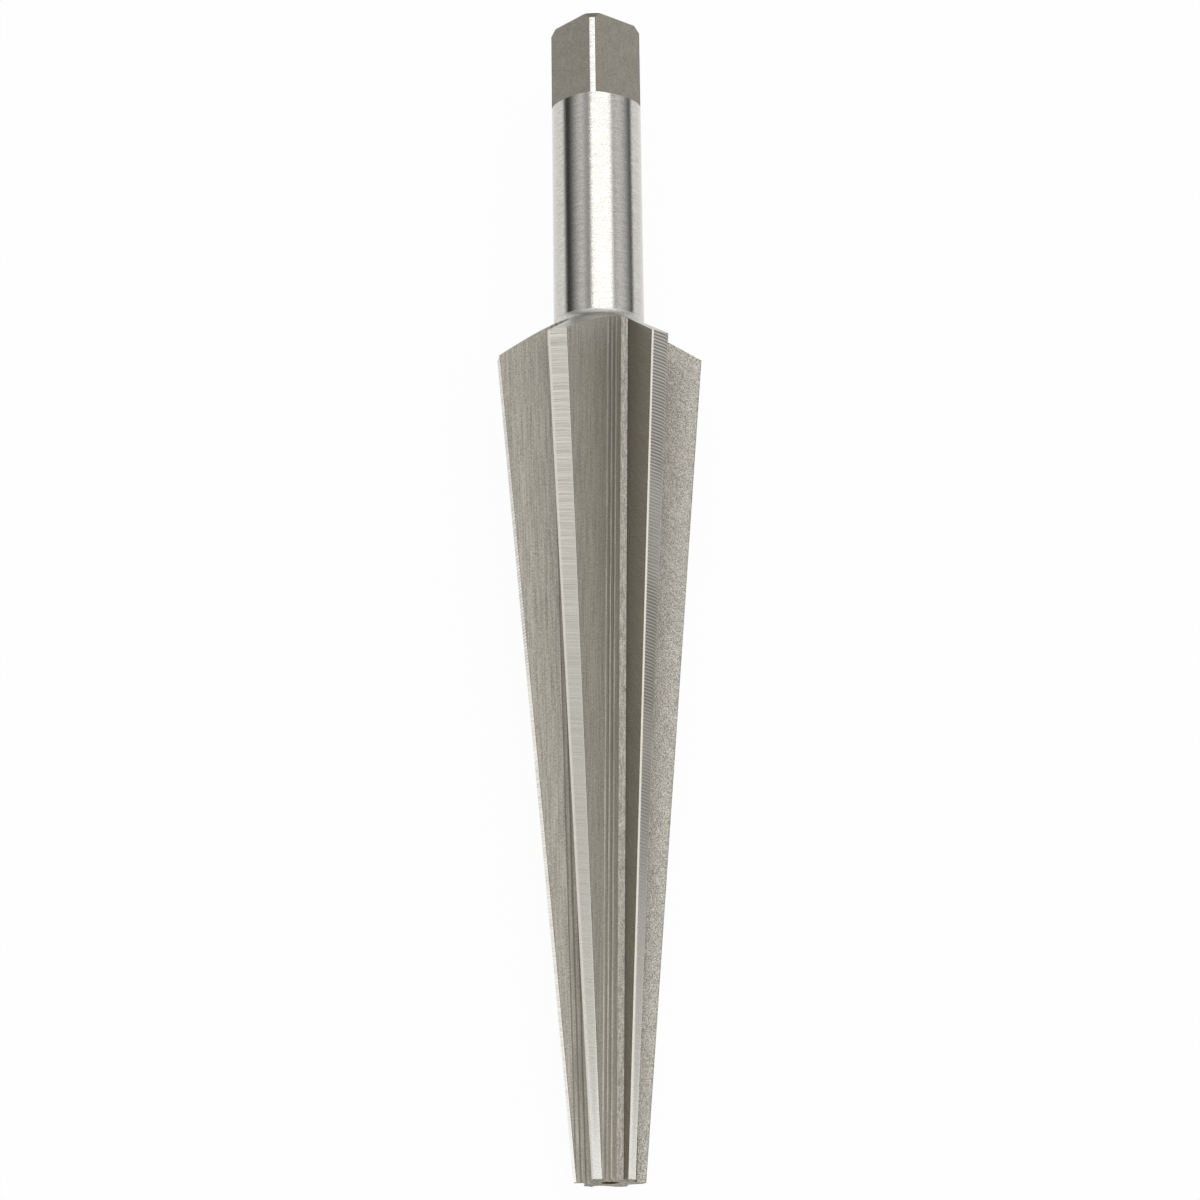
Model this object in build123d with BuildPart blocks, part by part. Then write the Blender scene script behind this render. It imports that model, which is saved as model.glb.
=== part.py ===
from build123d import *
import os
from math import radians, sin, sqrt, tan

os.makedirs("parts", exist_ok=True)

# A straight-fluted, right-hand-cut taper reamer made from one bar: six tapered teeth, a
# back shoulder, a round shank and a square that a tap wrench turns. Millimetres, degrees.

# Blank, measured from the small end
tip_diameter = 9.525
large_diameter = 28.575
taper_length = 114.3
overall_length = 165.1
shank_diameter = 12.7
shoulder_angle = 31.0  # slope of the back shoulder above a plane square to the axis
shoulder_fillet = 1.5
end_chamfer_depth = 0.58
end_chamfer_length = 0.92

# Flutes, milled by a form cutter that climbs from the tip towards the shank
tooth_count = 6
root_radius_at_tip = 2.92  # corner where the rake face and the flute's floor would meet
root_radius_at_large_end = 7.18
root_flat_on_rake = 0.6  # narrow flat that the cutter's worn corner leaves across the root
root_flat_on_floor = 0.8
floor_angle = 7.5  # climb of the floor from a line square to the rake face
back_angle = 13.75  # climb of the tooth back from the same line
ridge_count = 3  # shallow saw-shaped ridges along the floor
first_ridge = 1.55
ridge_pitch = 0.72
ridge_height = 0.08
ridge_fall = 0.25  # width of the short side of a ridge

# Lands, ground behind a narrow margin that stays on the taper
margin_width = 0.3
relief_angle_at_tip = 20.0
relief_angle_at_large_end = 8.0

# Drive square, its flats milled with the face of a cutter
flat_count = 4
square_across_flats = 9.525
square_length = 12.7
square_cutter_radius = 32.0
square_turn = 10.6  # from a cutting edge to the middle of a flat, about the axis

# Centre holes that the tool was ground between
centre_angle = 60.0
tip_centre_diameter = 2.4
tip_pilot_diameter = 1.0
tip_centre_depth = 3.0
shank_centre_diameter = 4.8
shank_pilot_diameter = 2.0
shank_centre_depth = 5.5

# Sizes that follow from the ones above
tip_radius = tip_diameter / 2
large_radius = large_diameter / 2
shank_radius = shank_diameter / 2
tooth_pitch = 360 / tooth_count
shoulder_end = taper_length + (large_radius - shank_radius) * tan(radians(shoulder_angle))
square_start = overall_length - square_length
margin_at_tip = sqrt(tip_radius**2 - margin_width**2)
margin_at_large_end = sqrt(large_radius**2 - margin_width**2)
cut_start = -tip_radius  # height where the flute and relief cuts begin, clear of the tip
cut_end = shoulder_end + shoulder_fillet


def along_taper(at_tip, at_large_end, height):
    """Value at a height, of what changes evenly from the tip to the large end."""
    return at_tip + (at_large_end - at_tip) * height / taper_length


# Flute cutter: the rake face lies along +X, and the floor and tooth back climb towards -Y
floor_rise = tan(radians(floor_angle))
back_rise = tan(radians(back_angle))
floor_points = []
for ridge in range(ridge_count):
    crest = first_ridge + ridge * ridge_pitch
    foot = crest + ridge_fall
    floor_points.append((crest * floor_rise + ridge_height, -crest))
    floor_points.append((foot * floor_rise, -foot))
back_reach = 2 * large_radius
back_top = foot * floor_rise + (back_reach - foot) * back_rise
root_climb = root_flat_on_floor * floor_points[0][0] / first_ridge

flute_direction = Vector(root_radius_at_large_end - root_radius_at_tip, 0, taper_length)
flute_start = Vector(root_radius_at_tip, 0, 0) + flute_direction * (cut_start / taper_length)
flute_plane = Plane(flute_start, x_dir=Vector(0, 1, 0).cross(flute_direction), z_dir=flute_direction)

with BuildPart() as flute_cut:
    with BuildSketch(flute_plane):
        with BuildLine():
            Polyline(
                (root_flat_on_rake, 0),
                (root_climb, -root_flat_on_floor),
                *floor_points,
                (back_top, -back_reach),
                (back_top + back_reach, -back_reach),
                (back_top + back_reach, 0),
                close=True,
            )
        make_face()
    extrude(amount=cut_end - cut_start)

# Relief cutter: its sloping side passes through the back of the margin, clears the cutting
# edge and falls away over the rest of the land, more steeply near the tip
relief_reach = large_radius * sin(radians(tooth_pitch / 2))
fall_at_tip = tan(radians(relief_angle_at_tip))
fall_at_large_end = tan(radians(relief_angle_at_large_end))

with BuildPart() as relief_cut:
    for height in (cut_start, cut_end):
        margin_radius = along_taper(margin_at_tip, margin_at_large_end, height)
        fall = along_taper(fall_at_tip, fall_at_large_end, height)
        with BuildSketch(Plane((margin_radius, margin_width, height))):
            with BuildLine():
                Polyline(
                    (margin_width * fall, -margin_width),
                    (relief_reach, -margin_width),
                    (relief_reach, relief_reach),
                    (-relief_reach * fall, relief_reach),
                    close=True,
                )
            make_face()
    loft(ruled=True)

# Flat of the drive square: the cutter's round edge leaves a curved end on the shank
with BuildPart() as flat_cut:
    with BuildSketch(Plane.YZ.offset(square_across_flats / 2)):
        with Locations((0, square_start + square_cutter_radius)):
            Circle(square_cutter_radius)
    extrude(amount=shank_radius)

# The tool on its own axis, with the tip face at height zero
with BuildPart() as tool:
    with BuildSketch(Plane.XZ) as half_profile:
        with BuildLine():
            Polyline(
                (0, 0),
                (tip_radius, 0),
                (large_radius, taper_length),
                (shank_radius, shoulder_end),
                (shank_radius, overall_length - end_chamfer_length),
                (shank_radius - end_chamfer_depth, overall_length),
                (0, overall_length),
                close=True,
            )
        make_face()
        shoulder_foot = half_profile.vertices().sort_by_distance((shank_radius, shoulder_end, 0))[0]
        fillet(shoulder_foot, shoulder_fillet)
    revolve(axis=Axis.Z)
    with PolarLocations(0, tooth_count):
        add(flute_cut.part, mode=Mode.SUBTRACT)
        add(relief_cut.part, mode=Mode.SUBTRACT)
    with PolarLocations(0, flat_count, start_angle=square_turn):
        add(flat_cut.part, mode=Mode.SUBTRACT)
    with Locations(Plane.XY.offset(overall_length)):
        CounterSinkHole(
            shank_pilot_diameter / 2,
            shank_centre_diameter / 2,
            depth=shank_centre_depth,
            counter_sink_angle=centre_angle,
        )
    with Locations(-Plane.XY):
        CounterSinkHole(
            tip_pilot_diameter / 2,
            tip_centre_diameter / 2,
            depth=tip_centre_depth,
            counter_sink_angle=centre_angle,
        )


def corner_nearest(height):
    """Corner of the tool at a height, nearest to a far point below the first flute."""
    far_point = Vector(back_reach, 0, height).rotate(Axis.Z, -tooth_pitch / 2)
    low, high = height - margin_width, height + margin_width
    corners = tool.vertices().filter_by_position(Axis.Z, low, high)
    return Vector(corners.sort_by_distance(far_point)[0])


# Lying over the first flute, the tool rests on both ends of the heel along one side of that
# flute, and on the large end of the cutting edge along its other side. The shank is at +Y.
tip_heel = corner_nearest(0)
large_heel = corner_nearest(taper_length)
edge_end = Vector(large_radius, 0, taper_length)
up = (large_heel - tip_heel).cross(edge_end - tip_heel)
rest_plane = Plane(edge_end, x_dir=Vector(0, 0, 1).cross(up), z_dir=up)
lying_tool = rest_plane.to_local_coords(tool.part)
lying_box = lying_tool.bounding_box()

with BuildPart() as taper_reamer:
    with Locations((-lying_box.center().X, -lying_box.center().Y, -lying_box.min.Z)):
        add(lying_tool)

taper_reamer.part.label = "taper_reamer"
export_step(taper_reamer.part, "parts/taper_reamer.step")
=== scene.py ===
"""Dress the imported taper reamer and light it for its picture.

The tool is one piece of bare tool steel that lies on a pale studio floor. Its surface is
worked out again here from the sizes of the solid, face by face, so that every ground, milled,
turned and blasted face carries its own finish, with marks that run the way its wheel or
cutter ran. Sizes are in millimetres on the tool's own axis, with the tip face at height zero,
until a piece is laid down on the floor and turned into metres. The studio's are in metres.
"""

import logging
from dataclasses import dataclass, field
from enum import Enum
from math import atan, cos, pi, radians, sin, sqrt, tan
from typing import Any, Callable

import bpy
import numpy as np
from mathutils import Matrix, Vector


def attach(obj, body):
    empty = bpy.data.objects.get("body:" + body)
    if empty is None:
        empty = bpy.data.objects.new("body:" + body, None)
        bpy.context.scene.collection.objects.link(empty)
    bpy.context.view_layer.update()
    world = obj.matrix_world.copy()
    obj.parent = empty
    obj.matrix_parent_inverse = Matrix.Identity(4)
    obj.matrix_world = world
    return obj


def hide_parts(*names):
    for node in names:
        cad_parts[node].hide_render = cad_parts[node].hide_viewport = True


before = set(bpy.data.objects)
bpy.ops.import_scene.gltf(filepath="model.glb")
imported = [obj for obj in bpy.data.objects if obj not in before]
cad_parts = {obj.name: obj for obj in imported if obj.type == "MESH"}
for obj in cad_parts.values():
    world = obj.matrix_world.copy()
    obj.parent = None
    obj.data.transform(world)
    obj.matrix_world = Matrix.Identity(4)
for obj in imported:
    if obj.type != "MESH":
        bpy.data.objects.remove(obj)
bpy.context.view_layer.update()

log = logging.getLogger("reamer")
Array = np.ndarray
Formula = Callable[[Array], Array]  # works one array out from another
Tree = bpy.types.NodeTree
MILLIMETRE = 0.001
SEAM = 1e-5  # points closer than this, in millimetres, are one point of the mesh
FAR = 9.0  # mm from an edge, where no line along it shows
HALVINGS = 46  # what they leave of a range is far smaller than a seam


class Face(Enum):
    """Kind of finish that a face of the tool has, in the order of the material slots."""

    BACK = "form_milled_tooth_back"
    FLOOR = "form_milled_flute_floor"
    ROOT = "form_milled_root_flat"
    RAKE = "cup_ground_rake_face"
    MARGIN = "cylinder_ground_margin"
    RELIEF = "ground_relief"
    SHOULDER = "turned_shoulder"
    SHANK = "cylinder_ground_shank"
    SQUARE = "blasted_drive_flat"
    END = "turned_end_face"
    TIP = "ground_tip_face"
    HOLE = "oiled_centre_hole"


class Flow(Enum):
    """Run of neighbouring patches that flow into each other; all others meet at an edge."""

    TIP = 0
    SHANK = 1


def halve(gap: Formula, low: Any, high: Any) -> Array:
    """Find where a rising quantity passes zero, by halving the range that holds the place.

    Args:
        gap: quantity to bring to zero, worked out for a whole array at a time.
        low: start of the range, where the quantity is below zero.
        high: end of the range, where it is above.

    Returns:
        The place where it is zero, for each item.
    """
    for _ in range(HALVINGS):
        middle = (low + high) / 2
        above = gap(middle) > 0
        low, high = np.where(above, low, middle), np.where(above, middle, high)
    return (low + high) / 2


@dataclass(frozen=True)
class Blank:
    """The bar as it is turned, before any flute, flat or relief is cut."""

    tip_radius: float = 4.7625
    large_radius: float = 14.2875
    taper_length: float = 114.3
    overall_length: float = 165.1
    shank_radius: float = 6.35
    shoulder_angle: float = 31.0
    shoulder_fillet: float = 1.5

    def taper(self, height: Any) -> Any:
        """Radius of the cutting edges: it grows evenly from the tip to the large end."""
        grow = (self.large_radius - self.tip_radius) / self.taper_length
        return self.tip_radius + grow * height

    def shoulder_height(self, radius: Any) -> Any:
        """Height of the shoulder's cone at a radius."""
        return self.taper_length + (self.large_radius - radius) * tan(radians(self.shoulder_angle))

    def foot(self, rows: int) -> Array:
        """Work out the hollow fillet between the shoulder's cone and the shank.

        Its centre is one fillet radius from both: r = shank + f, and h where the distance to
        the cone is f. The arc turns from the cone's inward normal to the shank's.

        Args:
            rows: number of steps along the arc.

        Returns:
            (radius, height) of each point, from the cone to the shank.
        """
        slope, fillet = radians(self.shoulder_angle), self.shoulder_fillet
        radius = self.shank_radius + fillet
        height = self.shoulder_height(radius) + fillet / cos(slope)
        turn = np.linspace(1.5 * pi - slope, pi, rows + 1)
        return np.stack([radius + fillet * np.cos(turn), height + fillet * np.sin(turn)], 1)


@dataclass(frozen=True)
class Fluting:
    """One tooth and the flute behind it, as a section that changes evenly up the tool.

    Points are complex numbers x + iy across the axis, with the tooth's rake face along x and
    its land towards y. Columns run from the root of the rake face over the tooth and down its
    back to the root of the next rake face.
    """

    blank: Blank = Blank()
    teeth: int = 6
    root_at_tip: float = 2.92
    root_at_large_end: float = 7.18
    root_flat_on_rake: float = 0.6
    root_flat_on_floor: float = 0.8
    floor_angle: float = 7.5
    back_angle: float = 13.75
    ridge_count: int = 3
    first_ridge: float = 1.55
    ridge_pitch: float = 0.72
    ridge_height: float = 0.08
    ridge_fall: float = 0.25
    margin_width: float = 0.3
    relief_at_tip: float = 20.0
    relief_at_large_end: float = 8.0
    heel_reach: float = 20.0  # farther from the next rake plane than any heel
    end_reach: float = 5.5  # farther past the taper than any column ends on the shoulder
    level_share: float = 0.92  # of the taper's length, over which rows are level
    level_rows: int = 42
    lean_rows: int = 6
    rake_knee: float = 0.075  # the rake's columns crowd below this share, towards the root

    # Columns at which one face gives way to the next
    STOPS = ROOT, RAKE, EDGE, LAND, HEEL, RIDGES, FLOOR, NEXT = 0, 9, 22, 25, 38, 48, 53, 60

    @property
    def turn(self) -> complex:
        """Turn from one tooth to the next."""
        return np.exp(2j * pi / self.teeth)

    @property
    def path(self) -> float:
        """Angle at which the root climbs, and with it the path of the flute's cutter."""
        return atan((self.root_at_large_end - self.root_at_tip) / self.blank.taper_length)

    @property
    def bends(self) -> Array:
        """(distance from the rake plane, climb) of each bend from the root to the back's end."""
        rise = tan(radians(self.floor_angle))
        crest = self.first_ridge + self.ridge_pitch * np.arange(self.ridge_count)
        foot = crest + self.ridge_fall
        tops = np.stack([crest, crest * rise + self.ridge_height], 1)
        ridges = np.stack([tops, np.stack([foot, foot * rise], 1)], 1).reshape(-1, 2)
        far = 2 * self.blank.large_radius
        top = ridges[-1, 1] + (far - ridges[-1, 0]) * tan(radians(self.back_angle))
        return np.vstack([[0, 0], ridges, [far, top]])

    def even(self, at_tip: float, at_large_end: float, height: Any) -> Any:
        """Value at a height, of what changes evenly from the tip to the large end."""
        return at_tip + (at_large_end - at_tip) * height / self.blank.taper_length

    def climb(self, away: Any) -> Any:
        """Climb of the flute's floor and back at a distance from the rake plane."""
        return np.interp(away, *self.bends.T)

    def flute_point(self, height: Any, climb: Any, away: Any) -> Array:
        """Point of the flute: its cutter's path climbs, so the cut is a little taller across."""
        root = self.even(self.root_at_tip, self.root_at_large_end, height)
        return root + climb / cos(self.path) - 1j * np.asarray(away)

    def back_point(self, height: Any, away: Any) -> Array:
        """Point of the flute behind this tooth, at a distance from the next rake plane."""
        return self.flute_point(height, self.climb(away), away) * self.turn

    @property
    def root_flat(self) -> Array:
        """(climb, distance from the rake plane) of the root flat, from the floor to the rake."""
        start = self.climb(self.root_flat_on_floor), self.root_flat_on_floor
        end = np.array([self.root_flat_on_rake, 0.0])
        # Two of the steps have no width: see ends_of_teeth() for what they face
        share = np.array([0, 1, 2, 3, 4, 5, 6, 6, 6, 7]) / 7
        return start + (end - start) * share[:, None]

    def relief(self, height: Any, behind: Any) -> Any:
        """Work out the relief, which falls away straight from the back of the margin.

        Args:
            height: height on the tool.
            behind: distance behind the rake plane.

        Returns:
            The distance from the axis along the rake plane.
        """
        tip = sqrt(self.blank.tip_radius**2 - self.margin_width**2)
        large = sqrt(self.blank.large_radius**2 - self.margin_width**2)
        falls = tan(radians(self.relief_at_tip)), tan(radians(self.relief_at_large_end))
        fall = self.even(*falls, height)
        return self.even(tip, large, height) - fall * (behind - self.margin_width)

    def heel(self, height: Any) -> Array:
        """Find the heel, where relief and flute meet.

        Args:
            height: height on the tool.

        Returns:
            Its distance from the next rake plane.
        """

        def outside(away: Array) -> Array:
            """How far the flute's point stands outside the relief of the tooth before it."""
            point = self.back_point(height, away)
            return point.real - self.relief(height, point.imag)

        start = np.full(np.shape(height), self.root_flat_on_floor)
        return halve(outside, start, np.full(np.shape(height), self.heel_reach))

    def section(self, height: Array) -> Array:
        """Work out one tooth and the flute behind it.

        Args:
            height: (rows, NEXT + 1) heights, each column with its own.

        Returns:
            Complex points of the same shape.
        """
        spans = list(zip(self.STOPS[:-1], self.STOPS[1:]))
        part = [slice(a, b + 1) for a, b in spans]
        share = [np.linspace(0, 1, b - a + 1) for a, b in spans]
        at = [height[:, s] for s in part]
        points = np.empty(height.shape, complex)
        ridges, root = self.bends[1:-1, 0], self.root_flat.T

        # Relief from the margin to the heel, then the back down to the ridges
        heel = [self.heel(at[i]) for i in (3, 4, 5)]
        end = self.back_point(at[3], heel[0])
        behind = self.margin_width + (end.imag - self.margin_width) * share[3]
        points[:, part[3]] = self.relief(at[3], behind) + 1j * behind
        away = heel[1] + (np.minimum(ridges[-1], heel[1]) - heel[1]) * share[4]
        points[:, part[4]] = self.back_point(at[4], away)
        points[:, part[5]] = self.back_point(at[5], np.minimum(ridges[::-1], heel[2]))

        # Floor between the last ridge and the root flat
        away = ridges[0] + (self.root_flat_on_floor - ridges[0]) * share[6]
        points[:, part[6]] = self.back_point(at[6], away)

        # Root flat, rake face and margin. The rake's outer columns match the back's, so that
        # the shoulder's grid runs straight from one to the other.
        points[:, part[0]] = self.flute_point(at[0], *root)
        near = self.flute_point(at[1], *root[:, -1])
        wide = self.RIDGES - self.HEEL
        knee = np.linspace(0, self.rake_knee, self.EDGE - self.RAKE - wide + 1)
        out = np.append(knee, np.linspace(self.rake_knee, 1, wide + 1)[1:])
        points[:, part[1]] = near + (self.blank.taper(at[1]) - near) * out
        behind = self.margin_width * share[2]
        points[:, part[2]] = np.sqrt(self.blank.taper(at[2]) ** 2 - behind**2) + 1j * behind
        return points

    def heights(self) -> Array:
        """Work out the height of every point of a tooth.

        Rows are level up the taper, with one where each ridge runs out at the heel. The last
        few lean so that each column ends on the shoulder's cone.

        Returns:
            (rows, NEXT + 1) heights.
        """
        length = self.blank.taper_length

        def outside(height: Array) -> Array:
            """How far above the shoulder's cone each column stands."""
            return height - self.blank.shoulder_height(np.abs(self.section(height)))

        start = np.full((1, self.NEXT + 1), length)
        ends = halve(outside, start, start + self.end_reach)
        ridges = self.bends[1:-1, 0]
        ridges = ridges[ridges > self.heel(np.zeros(1))]
        low = 0 * ridges
        runs_out = halve(lambda height: self.heel(height) - ridges, low, low + length)
        level = np.linspace(0, self.level_share * length, self.level_rows)
        level = np.sort(np.append(level, runs_out))
        lean = level[-1] + (ends - level[-1]) * np.linspace(0, 1, self.lean_rows + 1)[1:, None]
        return np.vstack([level[:, None] + 0 * ends, lean])


@dataclass(frozen=True)
class DriveSquare:
    """Four flats milled on the shank's end, where the wrench holds it."""

    blank: Blank = Blank()
    count: int = 4
    half: float = 4.7625  # distance of a flat from the axis
    length: float = 12.7
    cutter_radius: float = 32.0
    turn: float = 10.6  # from the first cutting edge to the middle of a flat, in degrees
    chamfer_depth: float = 0.58
    chamfer_length: float = 0.92
    flat_steps: int = 16
    chamfer_steps: int = 2
    corner_steps: int = 4

    @property
    def side(self) -> Array:
        """Places across a flat, with the corners of the end chamfer among them."""
        wide = sqrt(self.blank.shank_radius**2 - self.half**2)
        near = sqrt((self.blank.shank_radius - self.chamfer_depth) ** 2 - self.half**2)
        out = np.linspace(near, wide, self.chamfer_steps + 1)
        inside = np.linspace(-near, near, self.flat_steps + 1)[1:-1]
        return np.concatenate([-out[::-1], inside, out])

    @property
    def quarter(self) -> int:
        """Number of columns from one flat to the next."""
        return len(self.side) - 1 + self.corner_steps

    @property
    def rim(self) -> Array:
        """Points round the shank, where the flats begin."""
        radius = self.blank.shank_radius
        return self.ring(lambda across: np.sqrt(radius**2 - across**2) + 1j * across)

    @property
    def outline(self) -> Array:
        """Points round the square's own flats and corners."""
        return self.ring(lambda across: self.half + 1j * across)

    def ring(self, edge: Formula) -> Array:
        """Work out points round the square: every flat's, then those on the corner behind it.

        Args:
            edge: turns the places across a flat into complex points, its middle along x.

        Returns:
            Complex points, closed.
        """
        side = edge(self.side)
        start, end = np.angle(side[-1]), np.angle(side[0]) + 2 * pi / self.count
        steps = np.linspace(start, end, self.corner_steps + 1)[1:-1]
        one = np.concatenate([side, abs(side[0]) * np.exp(1j * steps)])
        turns = np.exp(1j * (radians(self.turn) + 2 * pi * np.arange(self.count) / self.count))
        ring = (one * turns[:, None]).ravel()
        return np.append(ring, ring[0])

    def heights(self, height: Formula) -> Array:
        """Work out heights round the square, where each corner keeps those of its ends.

        Args:
            height: turns the places across a flat into heights.

        Returns:
            Heights of the ring's points.
        """
        side = height(self.side)
        one = np.concatenate([side, np.full(self.corner_steps - 1, side[0])])
        return np.append(np.tile(one, self.count), side[0])

    def run_out(self, across: Array) -> Array:
        """Height where a flat begins: the cutter's edge leaves an arc of its own radius."""
        middle = self.blank.overall_length - self.length + self.cutter_radius
        return middle - np.sqrt(self.cutter_radius**2 - across**2)

    def head(self, across: Array) -> Array:
        """Height where a flat ends: on the end face, or on the chamfer's cone beside it."""
        out = np.sqrt(across**2 + self.half**2) - self.blank.shank_radius + self.chamfer_depth
        drop = np.maximum(out, 0) * self.chamfer_length / self.chamfer_depth
        return self.blank.overall_length - drop


@dataclass(frozen=True)
class CentreHole:
    """Sixty-degree centre hole with a pilot, in one end of the tool."""

    radius: float
    pilot_radius: float
    depth: float
    angle: float = 60.0

    @property
    def profile(self) -> Array:
        """(radius, depth) from the middle of the pilot's floor out to the face."""
        cone = (self.radius - self.pilot_radius) / tan(radians(self.angle / 2))
        pilot = self.pilot_radius
        return np.array([(0, self.depth), (pilot, self.depth), (pilot, cone), (self.radius, 0)])


@dataclass
class Patch:
    """One smooth face of the tool as a grid of points.

    Args:
        grid: (rows, columns, 7), rows from the tip towards the shank's end and columns round
            the axis, so that a face's outside is column side by row side. Each point has its
            place (3), its place across and along the marks (2), its distance to the nearest
            sharp edge, and its painted shade down into a flute, or on a land its chatter.
        face: kind of finish.
        run: patches with the same number flow into each other, others meet at an edge.
    """

    grid: Array
    face: Face
    run: int


@dataclass
class Skin:
    """The tool's whole surface, sewn from its patches."""

    patches: list[Patch] = field(default_factory=list)
    arc_radius: float = 6.0  # at which an angle is turned into a width for the marks

    def add(
        self,
        across: Array,
        height: Array,
        face: Face,
        flow: Flow | None = None,
        marks: tuple[Any, Any] | None = None,
        edge: Any = FAR,
        shade_and_chatter: Any = 0.0,
    ) -> None:
        """Add one patch.

        Args:
            across: complex points across the axis.
            height: heights, which may be one for each row or column.
            face: kind of finish.
            flow: run of patches that it belongs to, if any.
            marks: places across and along the face; by default along the arc, and height.
            edge: distance to the nearest sharp edge.
            shade_and_chatter: painted shade down into a flute; on a land, the chatter.
        """
        if marks is None:
            marks = np.unwrap(np.angle(across), axis=1) * self.arc_radius, height
        parts = across.real, across.imag, height, *marks, edge, shade_and_chatter
        grid = np.stack([np.broadcast_to(part, across.shape) for part in parts], -1)
        run = len(Flow) + len(self.patches) if flow is None else flow.value
        self.patches.append(Patch(grid, face, run))

    def turned(self, profile: Any, ring: Array, face: Face, flow: Flow | None = None) -> None:
        """Add a turned face: a line of (radius, height) carried round the axis on a ring."""
        self.add(profile[:, :1] * np.exp(1j * ring)[None, :], profile[:, 1:], face, flow)

    def sew(self, name: str, place: Formula) -> bpy.types.Mesh:
        """Join the patches into one closed mesh.

        Points of neighbouring patches that coincide become one vertex. Each cell of a grid is
        two triangles, and those that have shrunk to a line are left out. An edge between two
        runs is marked sharp.

        Args:
            name: name of the mesh.
            place: takes (n, 3) points on the tool's axis to their place on the floor.

        Returns:
            The mesh, with both flat maps and one material index for each face.
        """
        corners, loops, kinds, runs, start = [], [], [], [], 0
        for patch in self.patches:
            rows, columns, width = patch.grid.shape
            index = start + np.arange(rows * columns).reshape(rows, columns)
            a, b, c, d = index[:-1, :-1], index[:-1, 1:], index[1:, 1:], index[1:, :-1]
            cells = np.stack([a, b, c, a, c, d], -1).reshape(-1, 3)
            loops.append(cells)
            kinds.append(np.full(len(cells), list(Face).index(patch.face)))
            runs.append(np.full(len(cells), patch.run))
            corners.append(patch.grid.reshape(-1, width))
            start += rows * columns
        corner, loop = np.concatenate(corners), np.concatenate(loops)
        kind, run = np.concatenate(kinds), np.concatenate(runs)
        keys = np.round(corner[:, :3] / SEAM).astype(np.int64)
        _, first, vertex = np.unique(keys, axis=0, return_index=True, return_inverse=True)
        triangle = vertex.ravel()[loop]
        whole = (triangle != np.roll(triangle, 1, 1)).all(1)
        triangle, loop, kind, run = triangle[whole], loop[whole], kind[whole], run[whole]

        mesh = bpy.data.meshes.new(name)
        mesh.vertices.add(len(first))
        mesh.vertices.foreach_set("co", place(corner[first, :3]).ravel())
        mesh.loops.add(triangle.size)
        mesh.loops.foreach_set("vertex_index", triangle.ravel())
        mesh.polygons.add(len(triangle))
        mesh.polygons.foreach_set("loop_start", np.arange(0, triangle.size, 3))
        mesh.polygons.foreach_set("material_index", kind)
        mesh.update(calc_edges=True)
        for layer, at in (("marks", slice(3, 5)), ("edges", slice(5, 7))):
            flat = mesh.uv_layers.new(name=layer, do_init=False)
            flat.uv.foreach_set("vector", corner[loop.ravel(), at].ravel())
        axis = mesh.attributes.new("on_axis", "FLOAT_VECTOR", "POINT")
        axis.data.foreach_set("vector", corner[first, :3].ravel())
        mesh.polygons.foreach_set("use_smooth", np.ones(len(mesh.polygons), bool))

        # An edge is sharp where the lowest and the highest run beside it differ
        edge, run = np.empty(triangle.size, np.int32), np.repeat(run, 3)
        mesh.loops.foreach_get("edge_index", edge)
        low, high = np.full(len(mesh.edges), run.max()), np.zeros(len(mesh.edges), int)
        np.minimum.at(low, edge, run)
        np.maximum.at(high, edge, run)
        mark = mesh.attributes.new("sharp_edge", "BOOLEAN", "EDGE")
        mark.data.foreach_set("value", low < high)
        return mesh


@dataclass(frozen=True)
class LyingPose:
    """How the tool lies on its own: on two heel corners and one end of a cutting edge."""

    fluting: Fluting = Fluting()

    def place(self, skin: Skin) -> Formula:
        """Lay the tool down: turned, centred over the middle of the floor and resting on it.

        Args:
            skin: the whole surface, which gives the tool's reach.

        Returns:
            A function that takes (n, 3) millimetres on the tool's axis to metres at rest.
        """
        length = self.fluting.blank.taper_length
        ends = np.zeros((2, self.fluting.NEXT + 1)) + [[0.0], [length]]
        heel = self.fluting.section(ends)[:, self.fluting.HEEL] / self.fluting.turn
        tip, large = (np.array([h.real, h.imag, z]) for h, z in zip(heel, (0, length)))
        edge = np.array([self.fluting.blank.large_radius, 0, length])
        up = np.cross(large - tip, edge - tip)
        up /= np.linalg.norm(up)
        across = np.cross([0, 0, 1], up)
        across /= np.linalg.norm(across)
        # The floor's x, its y and up, one a row, as directions on the tool's own axis
        axes = np.stack([across, np.cross(up, across), up])
        reach = np.concatenate([p.grid[..., :3].reshape(-1, 3) for p in skin.patches]) @ axes.T
        low, high = reach.min(0), reach.max(0)
        shift = np.array([(low[0] + high[0]) / 2, (low[1] + high[1]) / 2, low[2]])
        return lambda points: (np.asarray(points) @ axes.T - shift) * MILLIMETRE


def linear(colour: str) -> tuple[float, ...]:
    """Turn an sRGB hex colour into the linear colour that Blender keeps, at full opacity."""
    parts = (int(colour[i : i + 2], 16) / 255 for i in (1, 3, 5))
    return (*(p / 12.92 if p <= 0.04045 else ((p + 0.055) / 1.055) ** 2.4 for p in parts), 1.0)


def cleared(owner: Any) -> Tree:
    """Give a material or a world an empty tree of nodes, and return it."""
    owner.use_nodes = True
    owner.node_tree.nodes.clear()
    return owner.node_tree


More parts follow.
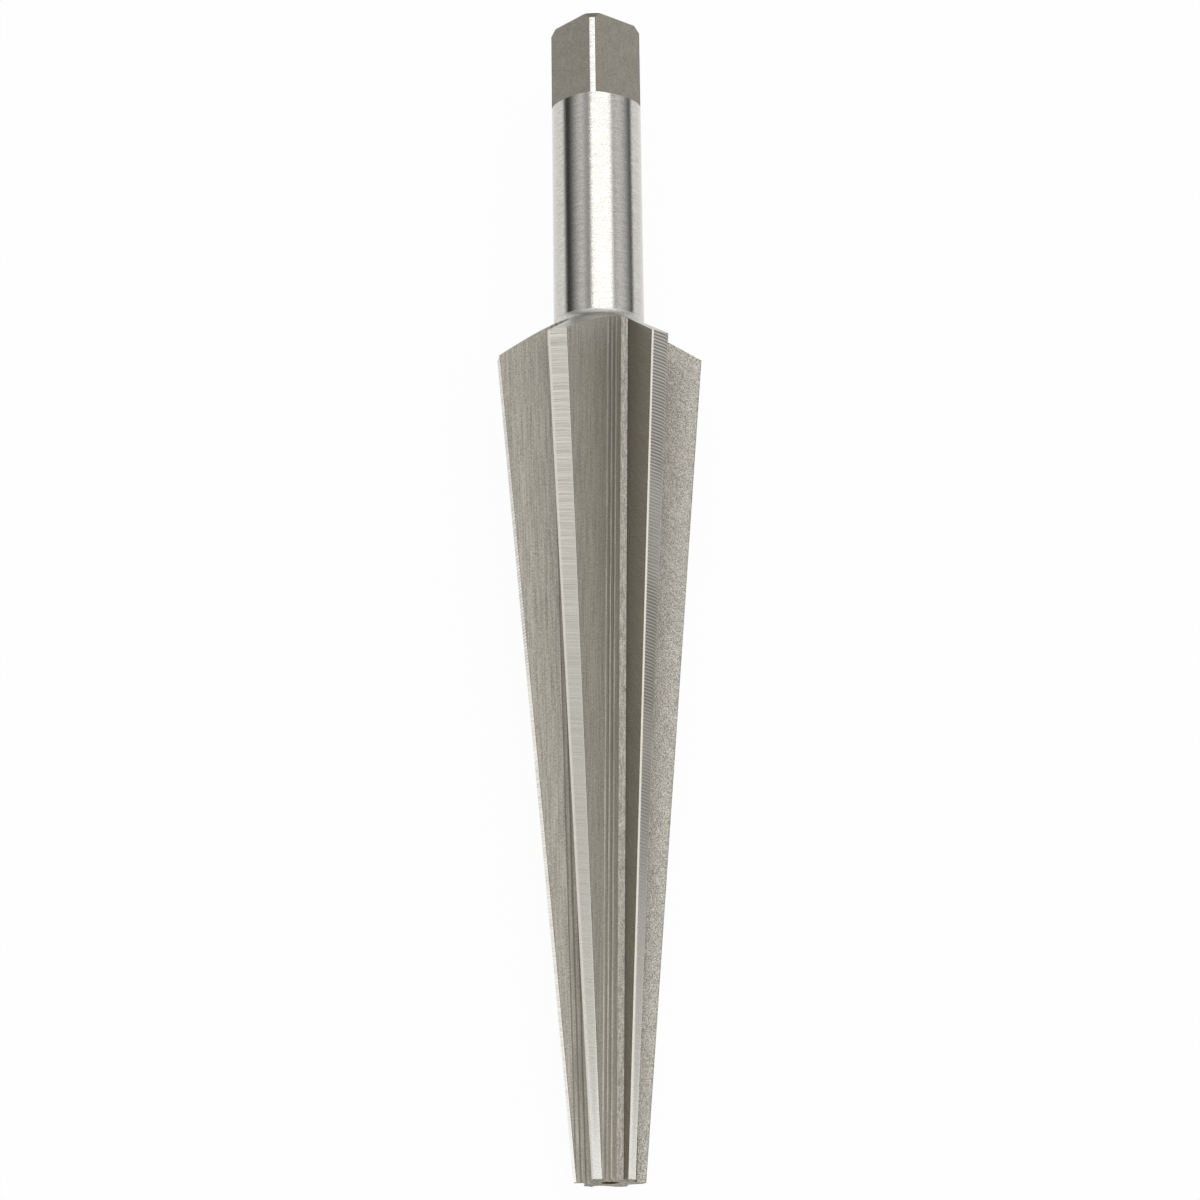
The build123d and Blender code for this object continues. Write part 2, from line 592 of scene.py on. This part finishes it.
def add(tree: Tree, kind: str, fill: dict[Any, Any], **settings: Any) -> Any:
    """Add a node to a tree.

    Args:
        tree: material or world nodes.
        kind: Blender's name for the node, after its ShaderNode.
        fill: inputs by name or number, each a value, the output that feeds it, or a node
            whose first output does.
        settings: properties of the node.

    Returns:
        The node.
    """
    node = tree.nodes.new("ShaderNode" + kind)
    for key, value in settings.items():
        setattr(node, key, value)
    for key, value in fill.items():
        if isinstance(value, bpy.types.Node):
            value = value.outputs[0]
        if isinstance(value, bpy.types.NodeSocket):
            tree.links.new(value, node.inputs[key])
        else:
            node.inputs[key].default_value = value
    return node


class Lay(Enum):
    """Direction that the marks of the cutter or the wheel take on a face."""

    ALONG = "along the flat map's second axis"
    ACROSS = "along the flat map's first axis"
    ROUND = "round the tool's axis"


@dataclass(frozen=True)
class SteelFinish:
    """Bare hardened tool steel, whose look comes from how its surface was cut.

    Steel reflects with its own warm grey. Marks, the broader bands they lie in and a fine
    grain part it between a dull and a bright tone, and lift it a little. Real marks are 0.02
    to 0.1 mm wide; they are drawn 0.12 to 0.35 mm wide, because finer ones don't show in a
    picture of the whole tool.
    """

    bright: str
    dull: str
    roughness: float
    lay: Lay
    width: float  # of one mark, mm
    length: float  # of one mark, mm
    marks: float = 0.4  # shares of the marks, bands and grain in the tone
    bands: float = 0.2
    grain: float = 0.4
    grain_size: float = 0.34  # mm
    spread: float = 0.13  # how far from its middle the pattern reaches full bright or dull
    depth: float = 0.012  # of the pattern as a bump, mm
    swing: float = 0.12  # of the roughness between dull and bright
    hatch: float = 0.0  # share of the regular lines that a chattering wheel leaves
    hatch_pitch: float = 0.66  # mm
    hatch_scale: float = 0.06  # of the noise by which it comes and goes, over about 17 mm
    hatch_fade: tuple[float, float] = (0.2, 0.46)  # noise at which it is gone, and full
    edge: str = "#55514A"  # tone of the line painted along a sharp edge, as painted shade
    edge_width: float = 0.16  # mm
    edge_share: float = 0.0
    shade_and_chatter: str = "#4A463E"  # tone of the painted shade down in a flute, and of a land's chatter lines
    shade_and_chatter_share: float = 0.0
    metallic: float = 1.0

    def pattern(self, tree: Tree, shade_and_chatter: Any) -> Any:
        """Add up the marks, the bands and the grain, about a middle of one half.

        Args:
            tree: the material's nodes.
            shade_and_chatter: the chatter, where there is any.

        Returns:
            The node that gives the pattern's height.
        """
        axis = add(tree, "Attribute", {}, attribute_name="on_axis").outputs["Vector"]
        # The place is stretched so that one mark is one unit wide and long
        width, length = 1 / self.width, 1 / self.length
        if self.lay is Lay.ROUND:
            fill = {"Vector": axis, "Scale": (length, length, width)}
        else:
            flat = add(tree, "UVMap", {}, uv_map="marks")
            scale = (width, length, 1.0) if self.lay is Lay.ALONG else (length, width, 1.0)
            fill = {"Vector": flat, "Scale": scale}
        place = add(tree, "Mapping", fill)
        # Share, place, scale and detail of each noise: a band is five marks wide and long
        layers = (
            (self.marks, place, 1.0, 2.0),
            (self.bands, place, 0.2, 1.0),
            (self.grain, axis, 1 / self.grain_size, 1.5),
        )
        total: Any = 0.0
        for share, where, scale, detail in layers:
            fill = {"Vector": where, "Scale": scale, "Detail": detail, "Roughness": 0.6}
            noise = add(tree, "TexNoise", fill)
            total = add(tree, "Math", {0: noise, 1: share, 2: total}, operation="MULTIPLY_ADD")
        return add(tree, "Math", {0: shade_and_chatter, 1: -self.hatch, 2: total}, operation="MULTIPLY_ADD")

    def chatter(self, tree: Tree, share: Any) -> Any:
        """Work out the chatter, (1 + sin(2 pi y / pitch)) / 2, which fades in some stretches.

        Args:
            tree: the material's nodes.
            share: how strong it is here.

        Returns:
            The node that gives the chatter's depth, from 0 to 1.
        """
        flat = add(tree, "UVMap", {}, uv_map="marks")
        along = add(tree, "SeparateXYZ", {0: flat}).outputs[1]
        phase = add(tree, "Math", {0: along, 1: 2 * pi / self.hatch_pitch}, operation="MULTIPLY")
        wave = add(tree, "Math", {0: phase}, operation="SINE")
        wave = add(tree, "Math", {0: wave, 1: 0.5, 2: 0.5}, operation="MULTIPLY_ADD")
        fill = {"Vector": flat, "Scale": self.hatch_scale, "Detail": 0.0}
        noise, (gone, full) = add(tree, "TexNoise", fill), self.hatch_fade
        fade = add(tree, "MapRange", {"Value": noise, "From Min": gone, "From Max": full})
        for factor in (share, fade):
            wave = add(tree, "Math", {0: wave, 1: factor}, operation="MULTIPLY")
        return wave

    def toned(self, tree: Tree, tone: Any, edge: Any, shade_and_chatter: Any) -> Any:
        """Colour of the steel: by tone, then the painted line along its edge, then painted shade
        down a flute.

        Args:
            tree: the material's nodes.
            tone: 0 where it is dull, 1 where it is bright.
            edge: distance from a sharp edge, in millimetres.
            shade_and_chatter: 1 where the painted shade down a flute is darkest, or at the bottom
                of the chatter.

        Returns:
            The output that gives the colour.
        """
        # The line along a sharp edge is painted: shade beside its fine bevel or in a crease, and on
        # a land a painted highlight
        fill = {"Value": edge, "From Max": self.edge_width, "To Min": 1.0, "To Max": 0.0}
        near = add(tree, "MapRange", fill, interpolation_type="SMOOTHSTEP")
        line = add(tree, "Math", {0: near, 1: self.edge_share}, operation="MULTIPLY")
        # Painted shade down the flute; on a land, the chatter's dark lines instead
        fill = {0: shade_and_chatter, 1: self.shade_and_chatter_share}
        shade_and_chatter_weight = add(tree, "Math", fill, operation="MULTIPLY", use_clamp=True)
        colour: Any = linear(self.dull)
        for factor, other in ((tone, self.bright), (line, self.edge), (shade_and_chatter_weight, self.shade_and_chatter)):
            fill = {"Factor": factor, "A": colour, "B": linear(other)}
            mix = add(tree, "Mix", fill, data_type="RGBA")
            colour = next(s for s in mix.outputs if s.type == "RGBA")
        return colour

    def material(self, name: str) -> bpy.types.Material:
        """Build the material: the pattern drives its colour, roughness and bump.

        Args:
            name: name of the material.

        Returns:
            The material.
        """
        material = bpy.data.materials.new(name)
        tree = cleared(material)
        maps = add(tree, "UVMap", {}, uv_map="edges")
        edge, shade_and_chatter, _ = add(tree, "SeparateXYZ", {0: maps}).outputs
        if self.hatch:
            shade_and_chatter = self.chatter(tree, shade_and_chatter)
        pattern = self.pattern(tree, shade_and_chatter)
        fill = {"Value": pattern, "From Min": 0.5 - self.spread, "From Max": 0.5 + self.spread}
        tone = add(tree, "MapRange", fill)
        dull, bright = self.roughness + self.swing / 2, self.roughness - self.swing / 2
        rough = add(tree, "MapRange", {"Value": tone, "To Min": dull, "To Max": bright})
        fill = {"Height": pattern, "Distance": self.depth * MILLIMETRE, "Strength": 1.0}
        bump = add(tree, "Bump", fill)
        fill = {"Base Color": self.toned(tree, tone, edge, shade_and_chatter), "Roughness": rough}
        shader = add(tree, "BsdfPrincipled", fill | {"Normal": bump, "Metallic": self.metallic})
        add(tree, "OutputMaterial", {"Surface": shader})
        return material


FINISHES: dict[Face, SteelFinish] = {
    # Form-milled and left as cut: fine lines along the flute, matt. On the back and floor, painted
    # shade darkens them down the flute and in lines along their edges
    Face.BACK: SteelFinish(
        "#DEDACE", "#B1ADA2", 0.56, Lay.ALONG, 0.18, 9.0, marks=0.42, bands=0.1, grain=0.5,
        grain_size=0.18, spread=0.1, edge_share=0.5, shade_and_chatter_share=0.32,
    ),
    Face.FLOOR: SteelFinish(
        "#E4E0D3", "#BBB7AB", 0.66, Lay.ALONG, 0.18, 9.0, bands=0.1, grain_size=0.18,
        spread=0.12, edge_width=0.18, edge_share=0.45, shade_and_chatter_share=0.4,
    ),
    Face.ROOT: SteelFinish(
        "#A8A59B", "#7C7972", 0.46, Lay.ALONG, 0.2, 2.0, grain=0.6, bands=0.0, grain_size=0.2,
    ),
    # Ground by the face of a cup wheel: speckled, with faint arcs. Painted shade darkens it
    # towards the root and in a line along the cutting edge
    Face.RAKE: SteelFinish(
        "#C2BEB5", "#8C8981", 0.5, Lay.ACROSS, 0.35, 3.0, marks=0.15, bands=0.03, grain=0.8,
        grain_size=0.14, spread=0.09, edge_share=0.6, shade_and_chatter_share=0.2,
    ),
    # Left by the cylindrical grinder, it scatters light as a thin white line: the partly matt
    # finish gives the scatter, and its near-white tone is a painted highlight
    Face.MARGIN: SteelFinish("#FFFAEC", "#F3EEE1", 0.5, Lay.ACROSS, 0.2, 2.0, metallic=0.3),
    # Ground across the land: fine lines that lean a little, in places with chatter; a painted
    # highlight runs along its edges
    Face.RELIEF: SteelFinish(
        "#FFFBF0", "#CFCBC0", 0.28, Lay.ACROSS, 0.14, 12.0, marks=0.75, bands=0.15, grain=0.1,
        grain_size=0.16, depth=0.006, hatch=0.2, hatch_pitch=0.46, edge="#FFFEFA",
        edge_share=0.75, shade_and_chatter="#5E5A52", shade_and_chatter_share=0.62, metallic=0.92,
    ),
    # Turned, then blasted with the rest of the end: even grey with faint rings
    Face.SHOULDER: SteelFinish("#E6E5DF", "#C4C3BD", 0.42, Lay.ROUND, 0.24, 4.0),
    # Ground between centres: bright, with short fine lines round it
    Face.SHANK: SteelFinish(
        "#DAD7D2", "#B2AFAA", 0.14, Lay.ROUND, 0.12, 1.5, depth=0.018, grain=0.6,
        grain_size=0.13, bands=0.08, marks=0.32,
    ),
    # Milled flat, then blasted: even and matt, with painted shade in a line along its sides
    Face.SQUARE: SteelFinish(
        "#BEB9AE", "#A7A298", 0.6, Lay.ALONG, 0.2, 0.4, grain=0.7, marks=0.1, grain_size=0.22,
        edge_share=0.5,
    ),
    # Turned: a darker grey with faint rings
    Face.END: SteelFinish("#B4B1A8", "#9C998E", 0.4, Lay.ROUND, 0.2, 4.0),
    # Ground off last, and stained: brown-grey and speckled
    Face.TIP: SteelFinish(
        "#A89F8D", "#5A5246", 0.5, Lay.ROUND, 0.2, 4.0, grain=0.75, marks=0.2, bands=0.05,
        grain_size=0.5, spread=0.08,
    ),
    # Drilled; its dark brown is painted shade, standing in for the shade deep in the hole
    Face.HOLE: SteelFinish("#5A4F42", "#39322A", 0.4, Lay.ROUND, 0.2, 4.0),
}


@dataclass(frozen=True)
class TaperReamer:
    """The whole tool: one piece of steel that replaces the plain solid."""

    blank: Blank = Blank()
    fluting: Fluting = Fluting()
    square: DriveSquare = DriveSquare()
    tip_hole: CentreHole = CentreHole(radius=1.2, pilot_radius=0.5, depth=3.0)
    shank_hole: CentreHole = CentreHole(radius=2.4, pilot_radius=1.0, depth=5.5)
    collar_radius: float = 7.2  # of the ring on the shoulder where the teeth's faces end
    wheel_radius: float = 13.0  # of the cup wheel's marks on a rake face
    relief_slant: float = 0.08  # climb of the relief's marks for each mm across the land
    relief_hook: float = 0.22  # mm that they drop at the heel, and over which they do
    heel_shade: float = 0.3  # share of the painted shade down the flute that reaches up to the heel
    painted_highlight_height: float = 36.0  # below it the painted highlight on the lands widens towards the tip
    chatter: tuple[float, ...] = (0.4, 0.6, 0.0, 1.0, 0.5, 0.2)  # share on each tooth's land
    chatter_start: float = 34.0  # height where the wheel began to chatter
    chatter_growth: float = 22.0  # mm over which it grew
    tooth_shift: float = 40.0  # mm by which each tooth's marks are moved, so that no two match
    flat_shift: float = 20.0  # the same for the square's flats
    tail_steps: int = 2
    foot_rows: int = 9
    shank_rows: int = 30
    flat_rows: int = 12
    end_rows: int = 5

    def teeth(self, skin: Skin) -> tuple[Array, Array]:
        """Add the faces of all six teeth.

        Args:
            skin: takes the patches.

        Returns:
            One tooth's section at the tip and at the shoulder.
        """
        f = self.fluting
        height = f.heights()
        one = f.section(height)
        one[:, f.NEXT] = one[:, f.ROOT] * f.turn
        away = f.heel(height)
        reach = -(one / f.turn).imag  # distance from the next rake plane
        behind = one.imag - f.margin_width
        land = one.imag[:, f.HEEL : f.HEEL + 1] - one.imag
        top = one.real[:, f.EDGE : f.EDGE + 1]
        # Painted shade: each face darkens towards the flute's root, and more so up the tool, from
        # none at the tip, as the flute grows deeper
        rise = height / f.blank.taper_length
        rake_shade = rise * (top - one.real) / (top - one.real[:, f.RAKE : f.RAKE + 1])
        back_shade = (away - reach) / (away - f.root_flat_on_floor)
        back_shade = rise * (self.heel_shade + (1 - self.heel_shade) * back_shade)
        chatter = np.clip((height - self.chatter_start) / self.chatter_growth, 0, 1)
        # A painted highlight along a land's edges widens towards the tip, until it covers the land
        bright = np.minimum(behind, land) * np.clip(height / self.painted_highlight_height, 0, 1)

        # Marks of the rake's cup wheel: parts of a circle that repeats up the tool, so they
        # are lines of even height + sqrt(2 R u - u u), where u is the distance from the root.
        # The relief's wheel leaves slanting lines that hook down at the heel.
        out = np.maximum(one.real - f.even(f.root_at_tip, f.root_at_large_end, height), 0)
        sweep = height + np.sqrt(out * (2 * self.wheel_radius - out))
        slant = height + self.relief_slant * one.imag
        slant = slant + self.relief_hook * np.exp(-np.maximum(land, 0) / self.relief_hook)
        runs = [
            (Face.ROOT, f.ROOT, f.RAKE, -one.imag, height, FAR, 0.0),
            (Face.RAKE, f.RAKE, f.EDGE, out, sweep, top - one.real, rake_shade),
            (Face.MARGIN, f.EDGE, f.LAND, one.imag, height, FAR, 0.0),
            (Face.RELIEF, f.LAND, f.HEEL, one.imag, slant, bright, chatter),
            (Face.BACK, f.HEEL, f.RIDGES, reach, height, away - reach, back_shade),
            (Face.FLOOR, f.FLOOR, f.NEXT, reach, height, FAR, back_shade),
        ]
        # A ridge's foot, where two of its sides meet in a line of painted shade, is every second
        # column
        for column in range(f.RIDGES, f.FLOOR):
            foot = column + (column - f.RIDGES) % 2
            line = np.abs(reach - reach[:, foot : foot + 1])
            runs.append((Face.FLOOR, column, column + 1, reach, height, line, back_shade))
        for tooth in range(f.teeth):
            for face, start, end, *maps in runs:
                s = slice(start, end + 1)
                across, along, edge, shade_and_chatter = (np.broadcast_to(m, one.shape)[:, s] for m in maps)
                if face is Face.RELIEF:
                    shade_and_chatter = shade_and_chatter * self.chatter[tooth]
                marks = across + self.tooth_shift * tooth, along
                skin.add(one[:, s] * f.turn**tooth, height[:, s], face, None, marks, edge, shade_and_chatter)
        return one[0], one[-1]

    def petal(self, rim: Array, inner: float) -> Array:
        """Fill the face between the end of one tooth and a ring inside it.

        The four borders are blended (a Coons patch) in the logarithm of the complex points,
        which is the angle and the logarithm of the radius. The borders are the land, the rake
        face's end and the tooth back's end, each led on to the ring, and the ring. The share
        from the land to the ring follows the fall of the logarithm along both sides.

        Args:
            rim: one tooth's section where it ends.
            inner: radius of the ring.

        Returns:
            Complex points from the land in to the ring.
        """
        f = self.fluting
        log_rim = np.log(rim)
        low = log_rim[f.ROOT]
        foot = np.log(inner) + 1j * low.imag
        tail = low + (foot - low) * np.linspace(0, 1, self.tail_steps + 1)[1:]
        left = np.append(log_rim[f.EDGE :: -1], tail)
        right = np.append(log_rim[f.HEEL :], tail + 1j * np.angle(f.turn))
        top = log_rim[f.EDGE : f.HEEL + 1]
        u = np.linspace(0, 1, len(top))[None, :]
        fall = (left[0] - left + right[0] - right).real[:, None]
        v = fall / fall[-1]
        bottom = foot + 1j * np.angle(f.turn) * u
        ends = (1 - v) * ((1 - u) * top[0] + u * top[-1]) + v * bottom
        sides = (1 - u) * left[:, None] + u * right[:, None]
        return np.exp((1 - v) * top[None, :] + v * bottom + sides - ends)

    def ends_of_teeth(self, skin: Skin, tip: Array, top: Array) -> None:
        """Add the hole in the tip, and the tip face and the shoulder, a petal for each tooth.

        Args:
            skin: takes the patches.
            tip: one tooth's section at the tip.
            top: one tooth's section at the shoulder.
        """
        for line in zip(self.tip_hole.profile[:-1], self.tip_hole.profile[1:]):
            skin.turned(np.array(line), self.ring(tip[self.fluting.ROOT]), Face.HOLE)
        at_tip = self.petal(tip, self.tip_hole.radius)[::-1]
        on_cone = self.petal(top, self.collar_radius)
        # The first ridge's foot and crest stand at almost one radius on the cone, so their
        # rows shrink to the row after, but for their ends
        crest = self.fluting.FLOOR - self.fluting.HEEL
        on_cone[crest - 1 : crest + 1, :-1] = on_cone[crest + 1, :-1]
        cone = self.blank.shoulder_height(np.abs(on_cone))
        for turn in self.fluting.turn ** np.arange(self.fluting.teeth):
            skin.add(at_tip * turn, 0.0, Face.TIP, Flow.TIP)
            skin.add(on_cone * turn, cone, Face.SHOULDER, Flow.SHANK)

    def ring(self, point: complex) -> Array:
        """Angles of an even ring that begins at a point, as many as go round the square."""
        return np.angle(point) + np.linspace(0, 2 * pi, self.square.count * self.square.quarter + 1)

    def shank(self, skin: Skin, start: complex) -> None:
        """Add the shoulder's foot and the shank, up to where the flats begin.

        Args:
            skin: takes the patches.
            start: root of the first rake face on the shoulder, where the rings begin.
        """
        square, ring = self.square, self.ring(start)
        foot = self.blank.foot(self.foot_rows)
        collar = (self.collar_radius, self.blank.shoulder_height(self.collar_radius))
        for profile in (np.vstack([collar, foot[0]]), foot):
            skin.turned(profile, ring, Face.SHOULDER, Flow.SHANK)

        # The shank's columns drift from the even ring to the square's own
        angles = np.unwrap(np.angle(square.rim[:-1]))
        shift = np.argmin(np.abs(np.exp(1j * angles) - np.exp(1j * ring[0])))
        angles = np.unwrap(np.roll(angles, -shift))
        angles += 2 * pi * np.round((ring[0] - angles[0]) / (2 * pi))
        angles = np.append(angles, angles[0] + 2 * pi)
        tops = np.roll(square.heights(square.run_out)[:-1], -shift)
        tops = np.append(tops, tops[0])
        share = np.linspace(0, 1, self.shank_rows + 1)[:, None]
        turned = np.exp(1j * (ring + (angles - ring) * share)) * self.blank.shank_radius
        skin.add(turned, foot[-1, 1] + (tops - foot[-1, 1]) * share, Face.SHANK, Flow.SHANK)

    def drive_end(self, skin: Skin) -> None:
        """Add the flats, the shank's corners between them, the end face and its hole.

        Args:
            skin: takes the patches.
        """
        square, hole, top = self.square, self.shank_hole, self.blank.overall_length
        rim, outline = square.rim, square.outline
        feet, heads = square.heights(square.run_out), square.heights(square.head)
        step = np.array([[0.0], [1.0]])
        skin.add(rim + (outline - rim) * step, feet, Face.SQUARE)

        run = np.linspace(0, 1, self.flat_rows + 1)[:, None]
        height = feet + (heads - feet) * run
        edge = square.side.max() - np.abs(square.side)
        for flat in range(square.count):
            begin = flat * square.quarter
            s = slice(begin, begin + len(square.side))
            corner = slice(s.stop - 1, begin + square.quarter + 1)
            marks = square.side + self.flat_shift * flat, height[:, s]
            skin.add(outline[s] + 0 * run, height[:, s], Face.SQUARE, None, marks, edge)
            skin.add(outline[corner] + 0 * run, height[:, corner], Face.SHANK, Flow.SHANK)

        # The chamfer, the end face round its hole, and the hole down to its floor
        inside = self.blank.shank_radius - square.chamfer_depth
        end = outline * (np.minimum(np.abs(outline), inside) / np.abs(outline))
        skin.add(outline + (end - outline) * step, heads + (top - heads) * step, Face.END)
        mouth = hole.radius * np.exp(1j * np.angle(end))
        share = np.linspace(0, 1, self.end_rows + 1)[:, None]
        skin.add(end + (mouth - end) * share, top, Face.END)
        ring = np.append(np.unwrap(np.angle(end[:-1])), np.angle(end[0]) + 2 * pi)
        for line in zip(hole.profile[:0:-1], hole.profile[-2::-1]):
            skin.turned(np.array(line) * (1, -1) + (0, top), ring, Face.HOLE)

    def build(self) -> Formula:
        """Work out the surface, lay it on the floor and dress it.

        Returns:
            The function that lays points of the tool down.
        """
        skin = Skin()
        tip, top = self.teeth(skin)
        self.ends_of_teeth(skin, tip, top)
        self.shank(skin, top[self.fluting.ROOT])
        self.drive_end(skin)
        place = LyingPose(self.fluting).place(skin)
        mesh = skin.sew("taper_reamer_steel", place)
        for face in Face:
            mesh.materials.append(FINISHES[face].material(face.value))
        piece = bpy.data.objects.new("reamer_steel", mesh)
        bpy.context.scene.collection.objects.link(piece)
        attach(piece, "root")
        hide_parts("taper_reamer")
        log.info("%s: %d triangles", piece.name, len(mesh.polygons))
        return place


@dataclass(frozen=True)
class Viewpoint:
    """Camera of the photograph, found by laying the tool's edges over it.

    It stands beyond the tip and looks up the tool. Its place is given on the tool's own axis
    in millimetres, with the tool turned about that axis, and its angles in degrees.
    """

    distance: float = 455.3934
    height: float = -55.3685
    turn: float = 120.393
    pitch: float = 16.4932
    yaw: float = -0.0428
    roll: float = 0.7144
    lens: float = 103.829  # mm of focal length on a sensor of 36 mm
    clip: tuple[float, float] = (0.01, 100.0)  # metres

    def build(self, place: Formula) -> None:
        """Stand the camera over the tool as it lies.

        Args:
            place: takes millimetres on the tool's axis to metres at rest.
        """
        p, w, r, t = (radians(a) for a in (self.pitch, self.yaw, self.roll, self.turn))
        forward = np.array([sin(w) * cos(p), cos(w) * cos(p), sin(p)])
        right = np.array([cos(w), -sin(w), 0])
        down = np.cross(forward, right)
        side = right * cos(r) + down * sin(r)
        up = right * sin(r) - down * cos(r)
        back = np.array([[cos(t), sin(t), 0], [-sin(t), cos(t), 0], [0, 0, 1]])
        eye = back @ np.array([0, -self.distance, self.height])
        laid = place(eye + np.stack([0 * eye, back @ side, back @ up, -(back @ forward)]))
        axes = (laid[1:] - laid[0]) / MILLIMETRE
        data = bpy.data.cameras.new("camera")
        data.lens = self.lens
        data.clip_start, data.clip_end = self.clip
        camera = bpy.data.objects.new("camera", data)
        matrix = Matrix(axes.T.tolist()).to_4x4()
        matrix.translation = Vector(laid[0])
        camera.matrix_world = matrix
        bpy.context.scene.collection.objects.link(camera)
        bpy.context.scene.camera = camera
        log.info("camera at %s", [round(c, 4) for c in laid[0]])


@dataclass(frozen=True)
class Studio:
    """Pale floor, one wide soft box overhead and a grey room that darkens at the horizon."""

    floor_colour: str = "#F4F4F3"
    floor_size: float = 6.0
    floor_glow: float = 0.96  # share of the floor that is plain white to camera and metal
    pool_middle: float = 0.15  # a painted pool of light glows on the floor round here, which metal shows
    pool_inside: float = 0.25
    pool_outside: float = 0.4
    pool_end: float = 0.1  # level of the painted glow beyond the pool
    box_width: float = 0.98
    box_place: tuple[float, float, float] = (0.1, 0.1, 1.0)
    box_level: float = 1.5
    room_level: float = 0.8
    horizon_level: float = 0.04
    horizon_rise: float = 0.66  # sine of the height above which the room is even
    horizon_tilt: float = 0.08  # the dark rim stands higher on the left than on the right
    crown_level: float = 0.5  # share of the room's light that is left round the soft box
    crown_start: float = 0.68
    crown_end: float = 0.82

    def floor(self) -> None:
        """Lay the floor: matt white that also shows as white itself, keeps the shadow, and glows to
        metal in a painted pool of light.
        """
        half = self.floor_size / 2
        mesh = bpy.data.meshes.new("floor")
        rim = [(-half, -half, 0), (half, -half, 0), (half, half, 0), (-half, half, 0)]
        mesh.from_pydata(rim, [], [(0, 1, 2, 3)])
        material = bpy.data.materials.new("painted_floor")
        tree = cleared(material)
        matt = add(tree, "BsdfDiffuse", {"Color": linear(self.floor_colour)})
        path = add(tree, "LightPath", {}).outputs
        camera, metal = path["Is Camera Ray"], path["Is Glossy Ray"]
        place = add(tree, "TexCoord", {}).outputs["Object"]
        fill = {0: place, 1: (self.pool_middle, 0.0, 0.0)}
        away = add(tree, "VectorMath", fill, operation="DISTANCE").outputs["Value"]
        fill = {"Value": away, "From Min": self.pool_inside, "From Max": self.pool_outside}
        fill |= {"To Min": 1.0, "To Max": self.pool_end}
        painted_pool = add(tree, "MapRange", fill, interpolation_type="SMOOTHSTEP")
        level = add(tree, "Math", {0: painted_pool, 1: camera}, operation="MAXIMUM")
        white = add(tree, "Emission", {0: (1, 1, 1, 1), 1: level})
        seen = add(tree, "Math", {0: camera, 1: metal}, operation="ADD", use_clamp=True)
        share = add(tree, "Math", {0: seen, 1: self.floor_glow}, operation="MULTIPLY")
        both = add(tree, "MixShader", {0: share, 1: matt, 2: white})
        add(tree, "OutputMaterial", {"Surface": both})
        mesh.materials.append(material)
        floor = bpy.data.objects.new("floor", mesh)
        bpy.context.scene.collection.objects.link(floor)

    def room(self) -> None:
        """Light the room: a pale belt, darker towards the horizon and round the soft box."""
        world = bpy.data.worlds.new("room")
        tree = cleared(world)
        look = add(tree, "TexCoord", {}).outputs["Generated"]
        fill = {0: look, 1: (self.horizon_tilt, 0.0, 1.0)}
        rise = add(tree, "VectorMath", fill, operation="DOT_PRODUCT").outputs["Value"]
        up = add(tree, "SeparateXYZ", {0: look}).outputs[2]
        names = "Value", "From Min", "From Max", "To Min", "To Max"
        horizon = rise, 0.0, self.horizon_rise, self.horizon_level, self.room_level
        crown = up, self.crown_start, self.crown_end, 1.0, self.crown_level
        level: Any = 1.0
        for span in (horizon, crown):
            fill = dict(zip(names, span))
            share = add(tree, "MapRange", fill, interpolation_type="SMOOTHSTEP")
            level = add(tree, "Math", {0: level, 1: share}, operation="MULTIPLY")
        # Beyond the floor the camera sees plain white, while metal still mirrors the dark rim
        camera = add(tree, "LightPath", {}).outputs["Is Camera Ray"]
        level = add(tree, "Math", {0: level, 1: camera}, operation="MAXIMUM")
        sky = add(tree, "Background", {"Color": (1, 1, 1, 1), "Strength": level})
        add(tree, "OutputWorld", {"Surface": sky})
        bpy.context.scene.world = world

    def soft_box(self) -> None:
        """Hang the soft box. An area lamp of P watts and area A glows at P / (pi A)."""
        data = bpy.data.lights.new("soft_box", "AREA")
        data.shape = "SQUARE"
        data.size = self.box_width
        data.energy = self.box_level * pi * self.box_width**2
        lamp = bpy.data.objects.new("soft_box", data)
        lamp.location = self.box_place
        bpy.context.scene.collection.objects.link(lamp)

    def build(self) -> None:
        """Set up the floor, the room and the lamp."""
        self.floor()
        self.room()
        self.soft_box()
        bpy.context.scene.view_settings.view_transform = "Standard"
        log.info("studio ready")


def corners(box: tuple[Vector, Vector]) -> list[list[float]]:
    """A box's two corners as plain lists."""
    return [[float(c) for c in corner] for corner in box]


def main() -> None:
    """Build the tool, the camera and the studio."""
    logging.basicConfig(level=logging.INFO, format="%(name)s: %(message)s")
    place = TaperReamer().build()
    Viewpoint().build(place)
    Studio().build()


if __name__ == "__main__":
    main()
